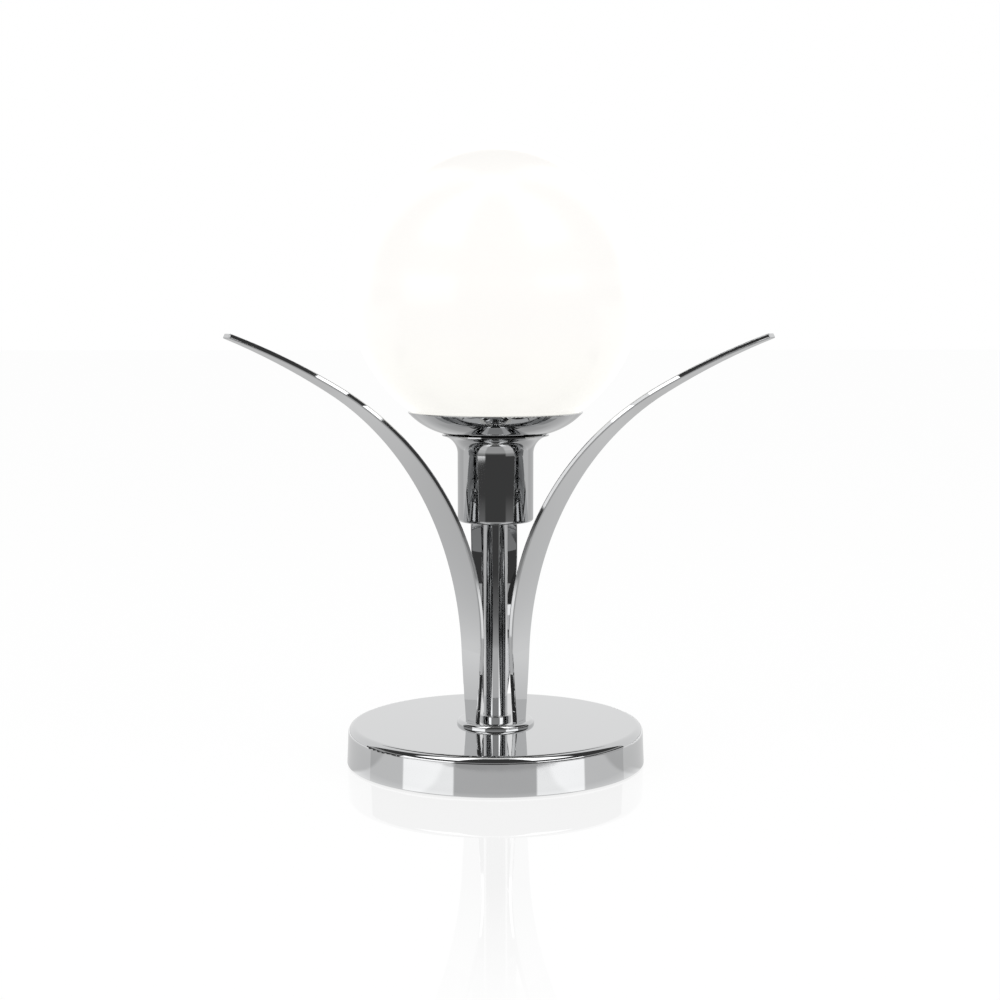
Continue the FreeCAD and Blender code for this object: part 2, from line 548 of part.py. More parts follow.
# Drawn steel can, threaded at the mouth: the thread ring screws onto it and draws the dish down.
sleeve = turned("holder_sleeve", [
    (TIE_HOLE, CUP_FLOOR),
    ("sleeve_radius - sleeve_wall", CUP_FLOOR),
    ("sleeve_radius", f"{CUP_FLOOR} + sleeve_wall", "sleeve_wall", 1),
    ("sleeve_radius", RING_FLOOR),
    ("sleeve_radius - sleeve_wall", RING_FLOOR),
    ("sleeve_radius - sleeve_wall", SLEEVE_FLOOR),
    (TIE_HOLE, SLEEVE_FLOOR),
])

# Gallery dish: flat centre on the cup's flange, then a bowl arc up to a rounded rim, whose arc
# is a little larger than half the wall.
DISH_RIM_ARC = "0.51 * dish_wall"
dish = turned("gallery_dish", [
    (SLEEVE_HOLE, CUP_RIM),
    ("dish_flat_radius", CUP_RIM),
    ("dish_radius", f"{DISH_CENTRE} - dish_curve * cos(dish_rim_slope)", "dish_curve", 1),
    (f"{DISH_AXIS} + (dish_curve - dish_wall) * sin(dish_rim_slope)",
     f"{DISH_CENTRE} - (dish_curve - dish_wall) * cos(dish_rim_slope)", DISH_RIM_ARC, 1),
    (f"{DISH_AXIS} + sqrt((dish_curve - dish_wall)^2 - ({DISH_CENTRE} - {DISH_FLOOR})^2)",
     DISH_FLOOR, "dish_curve - dish_wall", -1),
    (SLEEVE_HOLE, DISH_FLOOR),
])

# Thread ring: threaded floor on the sleeve, threaded skirt for the globe's collar, two notches
# for a pin spanner.
thread_ring = turned("thread_ring", [
    ("sleeve_radius + tie_thread_gap", DISH_FLOOR),
    ("thread_radius", DISH_FLOOR),
    ("thread_radius", f"{RING_TOP} - thread_chamfer"),
    ("thread_radius - thread_chamfer", RING_TOP),
    ("thread_radius - thread_wall", RING_TOP),
    ("thread_radius - thread_wall", RING_FLOOR),
    ("sleeve_radius + tie_thread_gap", RING_FLOOR),
])
notch = new_sketch(thread_ring, "notch", "XY_Plane", RING_TOP)
rectangle(notch, "0", "2 * thread_radius", "-notch_width / 2", "notch_width / 2")
notch_cut = extrude(thread_ring, "Pocket", notch, "notch_depth")
pattern(thread_ring, notch_cut, 2)

# ---- lampholder --------------------------------------------------------------------------------

HALF_PITCH = "pin_pitch / 2"

# Bracket: round plate with a threaded bush, screwed on the end of the clamping tube.
bracket = turned("lampholder_bracket", [
    (TIE_THREAD, BRACKET_FOOT),
    ("bracket_radius", BRACKET_FOOT),
    ("bracket_radius", HOLDER_FOOT),
    ("bush_radius", HOLDER_FOOT),
    ("bush_radius", f"{HOLDER_FOOT} + bush_height"),
    (TIE_THREAD, f"{HOLDER_FOOT} + bush_height"),
])
bracket_holes = new_sketch(bracket, "screw_holes", "XY_Plane", HOLDER_FOOT)
SCREW_PLACES = ("-holder_screw_place", "holder_screw_place")
for place in SCREW_PLACES:
    circle(bracket_holes, "holder_screw_radius + holder_screw_gap", "0", place)
extrude(bracket, "Pocket", bracket_holes, "2 * bracket_plate")

# Ceramic body: wiring cavity below, two contact chambers, two slots for the bulb's pins on top.
holder = turned("lampholder_body", [
    ("0", CAVITY_TOP),
    ("cavity_radius", CAVITY_TOP),
    ("cavity_radius", HOLDER_FOOT),
    ("holder_radius", HOLDER_FOOT),
    ("holder_radius", f"{HOLDER_TOP} - holder_chamfer"),
    ("holder_radius - holder_chamfer", HOLDER_TOP),
    ("0", HOLDER_TOP),
])
feeds = new_sketch(holder, "feeds", "XY_Plane", CAVITY_TOP)
chambers = new_sketch(holder, "chambers", "XY_Plane", CHAMBER_FOOT)
pin_slots = new_sketch(holder, "pin_slots", "XY_Plane", CHAMBER_TOP)
screw_bores = new_sketch(holder, "screw_bores", "XY_Plane", HOLDER_FOOT)
for side in ("-", ""):
    centre = f"{side}{HALF_PITCH}"
    circle(feeds, "feed_bore", centre, "0")
    rectangle(chambers, f"{centre} - chamber_wide / 2", f"{centre} + chamber_wide / 2",
              "-chamber_long / 2", "chamber_long / 2")
    rectangle(pin_slots, f"{centre} - pin_thickness / 2 - pin_slot_gap",
              f"{centre} + pin_thickness / 2 + pin_slot_gap",
              "-pin_width / 2 - pin_slot_gap", "pin_width / 2 + pin_slot_gap")
    circle(screw_bores, "holder_screw_radius + holder_screw_gap", "0", f"{side}holder_screw_place")
extrude(holder, "Pocket", feeds, f"{CHAMBER_FOOT} - {CAVITY_TOP}", reverse=True)
extrude(holder, "Pocket", chambers, "chamber_height", reverse=True)
extrude(holder, "Pocket", pin_slots, "chamber_top_cover", reverse=True)
extrude(holder, "Pocket", screw_bores, "holder_screw_length", reverse=True)

# Spring contacts: one folded strip in each chamber, open at the top for the pin.
CONTACT_INSIDE = "(pin_thickness / 2 + contact_gap)"
contacts = new_body("lampholder_contacts")
clip = new_sketch(contacts, "clip", "XZ_Plane")
clip_left = f"{HALF_PITCH} - {CONTACT_INSIDE}"
clip_right = f"{HALF_PITCH} + {CONTACT_INSIDE}"
outline(clip, [
    (f"{clip_left} - contact_leaf", CHAMBER_FOOT),
    (f"{clip_right} + contact_leaf", CHAMBER_FOOT),
    (f"{clip_right} + contact_leaf", f"{CHAMBER_FOOT} + contact_height"),
    (clip_right, f"{CHAMBER_FOOT} + contact_height"),
    (clip_right, f"{CHAMBER_FOOT} + contact_leaf"),
    (clip_left, f"{CHAMBER_FOOT} + contact_leaf"),
    (clip_left, f"{CHAMBER_FOOT} + contact_height"),
    (f"{clip_left} - contact_leaf", f"{CHAMBER_FOOT} + contact_height"),
])
clip_pad = extrude(contacts, "Pad", clip, "contact_depth", both_ways=True)
mirror(contacts, [clip_pad], "YZ_Plane")

# Two screws that hold the ceramic on the bracket, heads below the plate.
holder_screws = new_body("lampholder_screws")
heads = new_sketch(holder_screws, "heads", "XY_Plane", BRACKET_FOOT)
shanks = new_sketch(holder_screws, "shanks", "XY_Plane", BRACKET_FOOT)
for place in SCREW_PLACES:
    circle(heads, "holder_screw_head", "0", place)
    circle(shanks, "holder_screw_radius", "0", place)
extrude(holder_screws, "Pad", heads, "holder_screw_head_height", reverse=True)
extrude(holder_screws, "Pad", shanks, "holder_screw_length - bracket_plate")

# ---- globe and its neck ---------------------------------------------------------------------------

neck_gasket = ring("neck_gasket", "thread_radius + gasket_inner_gap",
                   "dish_flat_radius - gasket_outer_gap", DISH_FLOOR, COLLAR_FOOT)

# Threaded collar bonded into the globe's opening; its flange carries the ground glass rim.
COLLAR_OUTSIDE = "(globe_neck_radius - bond_gap)"
collar = turned("neck_collar", [
    (COLLAR_BORE, COLLAR_FOOT),
    ("collar_flange_radius", COLLAR_FOOT),
    ("collar_flange_radius", GLOBE_RIM),
    (COLLAR_OUTSIDE, GLOBE_RIM),
    (COLLAR_OUTSIDE, f"{COLLAR_FOOT} + collar_height"),
    (COLLAR_BORE, f"{COLLAR_FOOT} + collar_height"),
])

# Blown opal globe: a ball cut flat at the neck, with a straight ground opening.
INSIDE_RADIUS = "(globe_radius - globe_wall)"
globe = turned("glass_globe", [
    (f"sqrt(globe_radius^2 - globe_rim_drop^2)", GLOBE_RIM),
    ("0", f"{GLOBE_CENTRE} + globe_radius", "globe_radius", 1),
    ("0", f"{GLOBE_CENTRE} + {INSIDE_RADIUS}"),
    ("globe_neck_radius", f"{GLOBE_CENTRE} - sqrt({INSIDE_RADIUS}^2 - globe_neck_radius^2)",
     INSIDE_RADIUS, -1),
    ("globe_neck_radius", GLOBE_RIM),
])

# ---- bulb -----------------------------------------------------------------------------------------

# Base block with rounded ends and a round seat for the dome.
bulb_base = new_body("bulb_base")
base_block = new_sketch(bulb_base, "block", "XY_Plane", HOLDER_TOP)
END_CENTRE = "(bulb_base_length - bulb_base_width) / 2"
outline(base_block, [
    (f"{END_CENTRE}", "-bulb_base_width / 2"),
    (f"{END_CENTRE} + bulb_base_width / 2", "0", "bulb_base_width / 2", 1),
    (f"{END_CENTRE}", "bulb_base_width / 2", "bulb_base_width / 2", 1),
    (f"-{END_CENTRE}", "bulb_base_width / 2"),
    (f"-{END_CENTRE} - bulb_base_width / 2", "0", "bulb_base_width / 2", 1),
    (f"-{END_CENTRE}", "-bulb_base_width / 2", "bulb_base_width / 2", 1),
])
extrude(bulb_base, "Pad", base_block, "bulb_base_height")
dome_seat = new_sketch(bulb_base, "seat", "XY_Plane", BULB_SEAT)
circle(dome_seat, "bulb_radius")
extrude(bulb_base, "Pad", dome_seat, "bulb_seat_height")

# Clear dome: thin tube closed by a half ball.
DOME_SHOULDER = f"({DOME_FOOT} + bulb_length - bulb_radius)"
bulb_dome = turned("bulb_dome", [
    ("bulb_radius - bulb_wall", DOME_FOOT),
    ("bulb_radius", DOME_FOOT),
    ("bulb_radius", DOME_SHOULDER),
    ("0", f"{DOME_SHOULDER} + bulb_radius", "bulb_radius", 1),
    ("0", f"{DOME_SHOULDER} + bulb_radius - bulb_wall"),
    ("bulb_radius - bulb_wall", DOME_SHOULDER, "bulb_radius - bulb_wall", -1),
])

light_strip = new_body("bulb_light_strip")
strip_foot = new_sketch(light_strip, "foot", "XY_Plane", DOME_FOOT)
rectangle(strip_foot, "-strip_width / 2", "strip_width / 2", "-strip_thickness / 2",
          "strip_thickness / 2")
extrude(light_strip, "Pad", strip_foot, "strip_height")

# Two flat pins with rounded ends, in the slots of the lampholder.
bulb_pins = new_body("bulb_pins")
pin_face = new_sketch(bulb_pins, "face", "YZ_Plane", HALF_PITCH)
PIN_END = f"({HOLDER_TOP} - pin_length + pin_width / 2)"
outline(pin_face, [
    ("pin_width / 2", HOLDER_TOP),
    ("-pin_width / 2", HOLDER_TOP),
    ("-pin_width / 2", PIN_END),
    ("0", f"{PIN_END} - pin_width / 2", "pin_width / 2", 1),
    ("pin_width / 2", PIN_END, "pin_width / 2", 1),
])
pin_pad = extrude(bulb_pins, "Pad", pin_face, "pin_thickness", both_ways=True)
mirror(bulb_pins, [pin_pad], "YZ_Plane")

# ---- wiring ---------------------------------------------------------------------------------------


def lead(label, route):
    """Insulated lead: a round section along straight runs joined by tangent arcs."""
    bend = size("lead_bend")
    points = [Vector(*(size(text) for text in point)) for point in route]
    edges = []
    run_start = points[0]
    for before, corner, after in zip(points, points[1:], points[2:]):
        way_in = (corner - before).normalize()
        way_out = (after - corner).normalize()
        turn = way_in.getAngle(way_out)
        reach = bend * math.tan(turn / 2)
        arc_start = corner - way_in * reach
        arc_end = corner + way_out * reach
        inward = (way_out - way_in).normalize()
        crown = corner + inward * (bend / math.cos(turn / 2) - bend)
        edges.append(Part.LineSegment(run_start, arc_start).toShape())
        edges.append(Part.Arc(arc_start, crown, arc_end).toShape())
        run_start = arc_end
    edges.append(Part.LineSegment(run_start, points[-1]).toShape())
    path = Part.Wire(edges)
    start_way = (points[1] - points[0]).normalize()
    section = Part.Wire(Part.Circle(points[0], start_way, size("lead_radius")).toShape())
    piece = doc.addObject("Part::Feature", label)
    piece.Label = label
    piece.Shape = path.makePipeShell([section], True, False)
    expected = math.pi * size("lead_radius") ** 2 * path.Length
    if abs(piece.Shape.Volume / expected - 1) > VOLUME_TOLERANCE:
        raise RuntimeError(f"{label}: the tube does not fill its route")
    return piece


def power_lead(label, side):
    """From one pole of the terminal block up the clamping tube to one contact."""
    near_axis = f"{side}lead_spacing / 2"
    pole = f"{side}pole_pitch"
    contact = f"{side}{HALF_PITCH}"
    over_tube = f"{TIE_END} + lead_radius"
    lead(label, [
        (pole, f"{BLOCK_START} + clamp_screw_inset", POLE_LEVEL),
        (pole, f"{BLOCK_START} - lead_bend", POLE_LEVEL),
        (f"{side}lead_spacing", f"{POCKET_START} + lead_radius", "lead_level"),
        (near_axis, "3 * lead_bend", "lead_level"),
        (near_axis, "0", "lead_level"),
        (near_axis, "0", over_tube),
        (contact, "0", f"{CAVITY_TOP} - lead_radius"),
        (contact, "0", CHAMBER_FOOT),
    ])


power_lead("live_lead", "-")
power_lead("neutral_lead", "")
LUG_WIRE_LEVEL = f"{LUG_TOP} - lug_thickness / 2 - lug_barrel_drop"
lead("earth_lead", [
    ("0", "lug_reach", LUG_WIRE_LEVEL),
    ("0", "lug_reach + lead_bend", LUG_WIRE_LEVEL),
    ("0", f"{BLOCK_START} - lead_bend", POLE_LEVEL),
    ("0", f"{BLOCK_START} + clamp_screw_inset", POLE_LEVEL),
])

# ---- check and write -------------------------------------------------------------------------------

doc.recompute()
for item in doc.Objects:
    if "Invalid" in item.State or "Error" in item.State:
        raise RuntimeError(f"{item.Label} failed: {item.State}")
    if item.TypeId in ("PartDesign::Pocket", "PartDesign::Groove"):
        if item.Shape.Volume >= item.BaseFeature.Shape.Volume * (1 - LEAST_CUT):
            raise RuntimeError(f"{item.Label} cuts nothing")

pieces = [item for item in doc.Objects if item.TypeId in ("PartDesign::Body", "Part::Feature")]
os.makedirs("parts", exist_ok=True)
for piece in pieces:
    if piece.Shape.isNull() or not piece.Shape.isValid():
        raise RuntimeError(f"{piece.Label} has no valid shape")
    piece.Shape.exportStep(f"parts/{piece.Label}.step")
    print(f"{piece.Label}: {len(piece.Shape.Solids)} solid(s), {piece.Shape.Volume:.1f} mm3")
print(f"{len(pieces)} pieces")
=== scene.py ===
import math

import bpy
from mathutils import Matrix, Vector


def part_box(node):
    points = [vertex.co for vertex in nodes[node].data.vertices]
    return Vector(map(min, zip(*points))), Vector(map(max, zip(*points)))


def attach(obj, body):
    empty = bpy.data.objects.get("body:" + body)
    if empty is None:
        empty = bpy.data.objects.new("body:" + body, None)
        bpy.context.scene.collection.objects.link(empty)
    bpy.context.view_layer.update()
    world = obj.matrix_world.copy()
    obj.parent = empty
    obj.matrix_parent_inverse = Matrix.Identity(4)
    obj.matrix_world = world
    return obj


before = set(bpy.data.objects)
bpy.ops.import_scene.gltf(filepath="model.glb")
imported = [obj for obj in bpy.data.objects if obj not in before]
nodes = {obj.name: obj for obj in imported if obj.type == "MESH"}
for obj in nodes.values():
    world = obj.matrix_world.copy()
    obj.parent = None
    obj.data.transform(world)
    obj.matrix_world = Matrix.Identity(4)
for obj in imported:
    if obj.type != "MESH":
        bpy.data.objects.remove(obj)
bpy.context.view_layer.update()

bpy.ops.object.select_all(action="DESELECT")

# ---------------------------------------------------------------------------------------------
# Camera: a short telephoto level with the middle of the globe, about 0.8 m in front of the stem.
# It looks six degrees down and is turned two degrees against the leaf blades. The lamp stands
# slightly left of the picture's centre.
# ---------------------------------------------------------------------------------------------
distance = 0.789
height = 0.1954
pitch = math.radians(6.14)
heading = math.radians(-2.0)
sidestep = 0.00186
focal_length = 68.76
film_width = 36.0
nearest = 0.01
farthest = 50.0

camera_data = bpy.data.cameras.new("photo_camera")
camera_data.lens = focal_length
camera_data.sensor_width = film_width
camera_data.clip_start = nearest
camera_data.clip_end = farthest
camera = bpy.data.objects.new("photo_camera", camera_data)
forward = Vector((-math.sin(heading), math.cos(heading), 0.0))
to_right = Vector((math.cos(heading), math.sin(heading), 0.0))
camera.location = -forward * distance + to_right * sidestep + Vector((0.0, 0.0, height))
camera.rotation_euler = (math.radians(90.0) - pitch, 0.0, heading)
bpy.context.scene.collection.objects.link(camera)
bpy.context.scene.camera = camera
bpy.context.scene.view_settings.view_transform = "Standard"

# ---------------------------------------------------------------------------------------------
# Studio: a white room. The world is plain white where the lens, the chrome and the glass look at
# it, and dimmer where it lights things, so that pale pieces keep their tone.
# ---------------------------------------------------------------------------------------------
room_seen = 1.0
room_light = 0.5


def grey(level):
    """A colour of three equal parts."""
    return (level, level, level, 1.0)


def seen_directly(tree):
    """A value that is 1 for what the lens, a polished surface or clear glass looks at."""
    path = tree.nodes.new("ShaderNodeLightPath")
    total = path.outputs["Is Camera Ray"]
    for other in ("Is Glossy Ray", "Is Transmission Ray"):
        add = tree.nodes.new("ShaderNodeMath")
        add.operation = "ADD"
        add.use_clamp = True
        tree.links.new(total, add.inputs[0])
        tree.links.new(path.outputs[other], add.inputs[1])
        total = add.outputs[0]
    return total


world = bpy.data.worlds.new("white_room")
bpy.context.scene.world = world
world.use_nodes = True
room = world.node_tree
room.nodes.clear()
room_strength = room.nodes.new("ShaderNodeMapRange")
room_strength.inputs["To Min"].default_value = room_light
room_strength.inputs["To Max"].default_value = room_seen
room.links.new(seen_directly(room), room_strength.inputs["Value"])
room_background = room.nodes.new("ShaderNodeBackground")
room_background.inputs["Color"].default_value = grey(1.0)
room.links.new(room_strength.outputs[0], room_background.inputs["Strength"])
room_output = room.nodes.new("ShaderNodeOutputWorld")
room.links.new(room_background.outputs[0], room_output.inputs["Surface"])

# ---------------------------------------------------------------------------------------------
# Floor: a sheet of glossy white acrylic, which keeps the lamp's soft shadow. Near the lamp it
# shows a faint mirror image, and the gloss fades farther out. The chrome sees another sheet.
# ---------------------------------------------------------------------------------------------
floor_reach = 6.0
floor_white = 0.85
floor_glow = 1.054
shadow_share = 0.1
mirror_share = 0.1
mirror_roughness = 0.02
mirror_fades_from = 0.17
mirror_fades_to = 0.3

bpy.ops.mesh.primitive_plane_add(size=2 * floor_reach, location=(0.0, 0.0, 0.0))
floor = bpy.context.object
floor.name = "floor"
floor.visible_glossy = False
floor_paint = bpy.data.materials.new("white_acrylic")
floor_paint.use_nodes = True
tree = floor_paint.node_tree
tree.nodes.clear()
sheet = tree.nodes.new("ShaderNodeBsdfDiffuse")
sheet.inputs["Color"].default_value = grey(floor_white)
glow = tree.nodes.new("ShaderNodeEmission")
glow.inputs["Color"].default_value = grey(1.0)
glow.inputs["Strength"].default_value = floor_glow
gloss = tree.nodes.new("ShaderNodeBsdfGlossy")
gloss.inputs["Roughness"].default_value = mirror_roughness
gloss.inputs["Color"].default_value = grey(1.0)
lit = tree.nodes.new("ShaderNodeMixShader")
lit.inputs[0].default_value = shadow_share / (1.0 - mirror_share)
tree.links.new(glow.outputs[0], lit.inputs[1])
tree.links.new(sheet.outputs[0], lit.inputs[2])
place = tree.nodes.new("ShaderNodeTexCoord")
from_axis = tree.nodes.new("ShaderNodeVectorMath")
from_axis.operation = "LENGTH"
tree.links.new(place.outputs["Object"], from_axis.inputs[0])
fade = tree.nodes.new("ShaderNodeMapRange")
fade.inputs["From Min"].default_value = mirror_fades_from
fade.inputs["From Max"].default_value = mirror_fades_to
fade.inputs["To Min"].default_value = mirror_share
fade.inputs["To Max"].default_value = 0.0
tree.links.new(from_axis.outputs["Value"], fade.inputs["Value"])
polished = tree.nodes.new("ShaderNodeMixShader")
tree.links.new(fade.outputs[0], polished.inputs[0])
tree.links.new(lit.outputs[0], polished.inputs[1])
tree.links.new(gloss.outputs[0], polished.inputs[2])
chosen = tree.nodes.new("ShaderNodeMixShader")
tree.links.new(seen_directly(tree), chosen.inputs[0])
tree.links.new(sheet.outputs[0], chosen.inputs[1])
tree.links.new(polished.outputs[0], chosen.inputs[2])
floor_output = tree.nodes.new("ShaderNodeOutputMaterial")
tree.links.new(chosen.outputs[0], floor_output.inputs["Surface"])
floor.data.materials.append(floor_paint)

# ---------------------------------------------------------------------------------------------
# Floor card: the floor as the chrome sees it, a hair below the real one. It is pale near the lamp,
# dark farther in front and lighter at the sides and behind. Near the lamp it is glossy too, so it
# mirrors the strip on the tent's wall. Reaches are in metres and bearings in degrees.
# ---------------------------------------------------------------------------------------------
left_panel = (-75.0, -33.0)
right_panel = (29.0, 68.5)
in_front = (-77.0, 77.0)
not_behind = (-116.0, 116.0)
behind_edge = 3.0
left_wall_glow = 1.3

card_drop = 0.0005
card_corners = 96
card_roughness = 0.02
card_index = 1.5
card_scale = 2.0
middle_tones = [(0.0, 0.85), (0.064, 0.85), (0.073, 0.48), (0.26, 0.5), (0.38, 0.2), (0.55, 0.07)]
panel_tones = [(0.0, 1.0), (0.064, 1.0), (0.073, 0.67), (0.26, 0.67), (0.4, 0.4), (0.8, 0.25), (1.1, 0.07)]
side_tones = [(0.0, 0.44), (0.1, 0.48), (0.3, 0.75)]
behind_tones = [(0.1, 0.48), (0.24, 0.64)]
left_wall_rises = [(1.48, 0.0), (1.56, 1.0)]
turns_matt = [(0.3, 0.0), (0.4, 1.0)]


def for_chrome_only(piece):
    """Keeps a studio card out of the picture and the lighting: only mirror surfaces see it."""
    piece.visible_camera = False
    piece.visible_diffuse = False
    piece.visible_transmission = False
    piece.visible_shadow = False


def ramp(tree, source, stops):
    """A grey scale along a value from 0 to 1, with its (position, grey) stops joined smoothly."""
    scale = tree.nodes.new("ShaderNodeValToRGB")
    knobs = scale.color_ramp.elements
    while len(knobs) < len(stops):
        knobs.new(0.5)
    for knob, (position, level) in zip(knobs, stops):
        knob.position = position
        knob.color = grey(level)
    tree.links.new(source, scale.inputs[0])
    return scale.outputs[0]


def position_parts(tree):
    """The X, Y and Z of a point in the room."""
    place = tree.nodes.new("ShaderNodeTexCoord")
    parts = tree.nodes.new("ShaderNodeSeparateXYZ")
    tree.links.new(place.outputs["Object"], parts.inputs[0])
    return parts.outputs


def sectors(tree, parts, spans, edge=1.5):
    """1 inside the given spans of bearing and 0 outside. Bearings are in degrees about the lamp,
    from straight in front, positive to the right; edge is half the width of the soft border."""
    back = tree.nodes.new("ShaderNodeMath")
    back.operation = "MULTIPLY"
    back.inputs[1].default_value = -1.0
    tree.links.new(parts["Y"], back.inputs[0])
    turn = tree.nodes.new("ShaderNodeMath")
    turn.operation = "ARCTAN2"
    tree.links.new(parts["X"], turn.inputs[0])
    tree.links.new(back.outputs[0], turn.inputs[1])
    share = tree.nodes.new("ShaderNodeMath")
    share.operation = "MULTIPLY_ADD"
    share.inputs[1].default_value = 0.5 / math.pi
    share.inputs[2].default_value = 0.5
    tree.links.new(turn.outputs[0], share.inputs[0])
    stops = []
    for start, end in spans:
        borders = ((start - edge, 0.0), (start + edge, 1.0), (end - edge, 1.0), (end + edge, 0.0))
        for bearing, level in borders:
            stops.append((min(max((bearing + 180.0) / 360.0, 0.0), 1.0), level))
    return ramp(tree, share.outputs[0], stops)


def reach_of(tree, parts):
    """How far a point is from the lamp's axis, in metres."""
    flat = tree.nodes.new("ShaderNodeCombineXYZ")
    tree.links.new(parts["X"], flat.inputs["X"])
    tree.links.new(parts["Y"], flat.inputs["Y"])
    reach = tree.nodes.new("ShaderNodeVectorMath")
    reach.operation = "LENGTH"
    tree.links.new(flat.outputs[0], reach.inputs[0])
    return reach.outputs["Value"]


def along(tree, scaled_reach, tones):
    """A grey scale along the reach, with its (metres, grey) stops joined smoothly."""
    return ramp(tree, scaled_reach, [(metres / card_scale, level) for metres, level in tones])


def mixed(tree, share, first, second):
    """first where share is 0, second where it is 1."""
    mix = tree.nodes.new("ShaderNodeMix")
    mix.data_type = "RGBA"
    for socket, value in (("Factor", share), ("A", first), ("B", second)):
        if isinstance(value, float):
            mix.inputs[socket].default_value = grey(value)
        else:
            tree.links.new(value, mix.inputs[socket])
    return mix.outputs["Result"]


def both(tree, first, second):
    """1 where both values are 1."""
    times = tree.nodes.new("ShaderNodeMath")
    times.operation = "MULTIPLY"
    tree.links.new(first, times.inputs[0])
    tree.links.new(second, times.inputs[1])
    return times.outputs[0]


bpy.ops.mesh.primitive_circle_add(vertices=card_corners, radius=floor_reach, fill_type="NGON",
                                  location=(0.0, 0.0, -card_drop))
floor_card = bpy.context.object
floor_card.name = "floor_card"
bpy.ops.object.transform_apply(location=True, rotation=True, scale=True)
card_paint = bpy.data.materials.new("floor_for_chrome")
card_paint.use_nodes = True
tree = card_paint.node_tree
card_surface = tree.nodes["Principled BSDF"]
card_surface.inputs["Base Color"].default_value = grey(0.0)
card_surface.inputs["Roughness"].default_value = card_roughness
card_surface.inputs["IOR"].default_value = card_index
card_surface.inputs["Emission Strength"].default_value = 1.0
parts = position_parts(tree)
shrink = tree.nodes.new("ShaderNodeMath")
shrink.operation = "MULTIPLY"
shrink.inputs[1].default_value = 1.0 / card_scale
tree.links.new(reach_of(tree, parts), shrink.inputs[0])
scaled_reach = shrink.outputs[0]
level = mixed(tree, sectors(tree, parts, [left_panel, right_panel]),
              along(tree, scaled_reach, middle_tones), along(tree, scaled_reach, panel_tones))
far_left = both(tree, along(tree, scaled_reach, left_wall_rises), sectors(tree, parts, [left_panel]))
level = mixed(tree, far_left, level, left_wall_glow)
level = mixed(tree, sectors(tree, parts, [in_front]), along(tree, scaled_reach, side_tones), level)
level = mixed(tree, sectors(tree, parts, [not_behind], behind_edge),
              along(tree, scaled_reach, behind_tones), level)
tree.links.new(level, card_surface.inputs["Emission Color"])
matt = tree.nodes.new("ShaderNodeEmission")
tree.links.new(level, matt.inputs["Color"])
near_only = tree.nodes.new("ShaderNodeMixShader")
tree.links.new(along(tree, scaled_reach, turns_matt), near_only.inputs[0])
tree.links.new(card_surface.outputs[0], near_only.inputs[1])
tree.links.new(matt.outputs[0], near_only.inputs[2])
tree.links.new(near_only.outputs[0], tree.nodes["Material Output"].inputs["Surface"])
floor_card.data.materials.append(card_paint)
for_chrome_only(floor_card)

# ---------------------------------------------------------------------------------------------
# Softboxes: two tall banks, left and right of the camera, that light the lamp and the floor
# evenly. The chrome doesn't see them: the bright parts of the tent stand in for them there.
# ---------------------------------------------------------------------------------------------
bank_distance = 1.15
bank_angle = math.radians(55.0)
bank_width = 0.93
bank_height = 1.27
bank_middle = 0.74
bank_radiance = 1.2

for bank_name, hand in (("left_bank", -1.0), ("right_bank", 1.0)):
    way = hand * bank_angle
    bank_data = bpy.data.lights.new(bank_name, "AREA")
    bank_data.shape = "RECTANGLE"
    bank_data.size = bank_width
    bank_data.size_y = bank_height
    bank_data.energy = bank_radiance * math.pi * bank_width * bank_height
    bank = bpy.data.objects.new(bank_name, bank_data)
    bank.location = (bank_distance * math.sin(way), -bank_distance * math.cos(way), bank_middle)
    bank.rotation_euler = (math.radians(90.0), 0.0, way)
    bank.visible_glossy = False
    bpy.context.scene.collection.objects.link(bank)

# ---------------------------------------------------------------------------------------------
# Tent: what the chrome sees above the floor. It is dark cloth, with a grey strip round the wall
# that is bright at the two panels, white wings overhead, above the panels and behind, a round
# light straight above the lamp, and an open back to the white room.
# ---------------------------------------------------------------------------------------------
tent_sides = 180
tent_radius = 2.05
tent_height = 1.6
tent_open_from = math.radians(112.0)
top_margin = 0.001
dark_cloth = 0.06
wing_glow = 2.4
rear_wings = [(-152.0, -112.0), (112.0, 152.0)]
rear_wing_glow = 1.0
top_light_reach = 0.28
top_light_glow = 1.5
strip_low = 0.33
strip_high = 0.6
strip_grey = 0.5
strip_glow = 2.43
strip_edge = 0.4


def above(tree, source, limit):
    """1 where a value is over a limit."""
    test = tree.nodes.new("ShaderNodeMath")
    test.operation = "GREATER_THAN"
    test.inputs[1].default_value = limit
    tree.links.new(source, test.inputs[0])
    return test.outputs[0]


bpy.ops.mesh.primitive_cylinder_add(vertices=tent_sides, radius=tent_radius, depth=tent_height,
                                    location=(0.0, 0.0, tent_height / 2.0))
tent = bpy.context.object
tent.name = "tent"
bpy.ops.object.transform_apply(location=True, rotation=True, scale=True)
bpy.ops.object.mode_set(mode="EDIT")
bpy.ops.mesh.select_mode(type="FACE")
bpy.ops.mesh.select_all(action="DESELECT")
bpy.ops.object.mode_set(mode="OBJECT")
for face in tent.data.polygons:
    around = math.atan2(face.center.x, -face.center.y)
    on_wall = abs(face.normal.z) < 0.5
    face.select = abs(around) > tent_open_from if on_wall else face.normal.z < 0.0
bpy.ops.object.mode_set(mode="EDIT")
bpy.ops.mesh.delete(type="FACE")
bpy.ops.object.mode_set(mode="OBJECT")

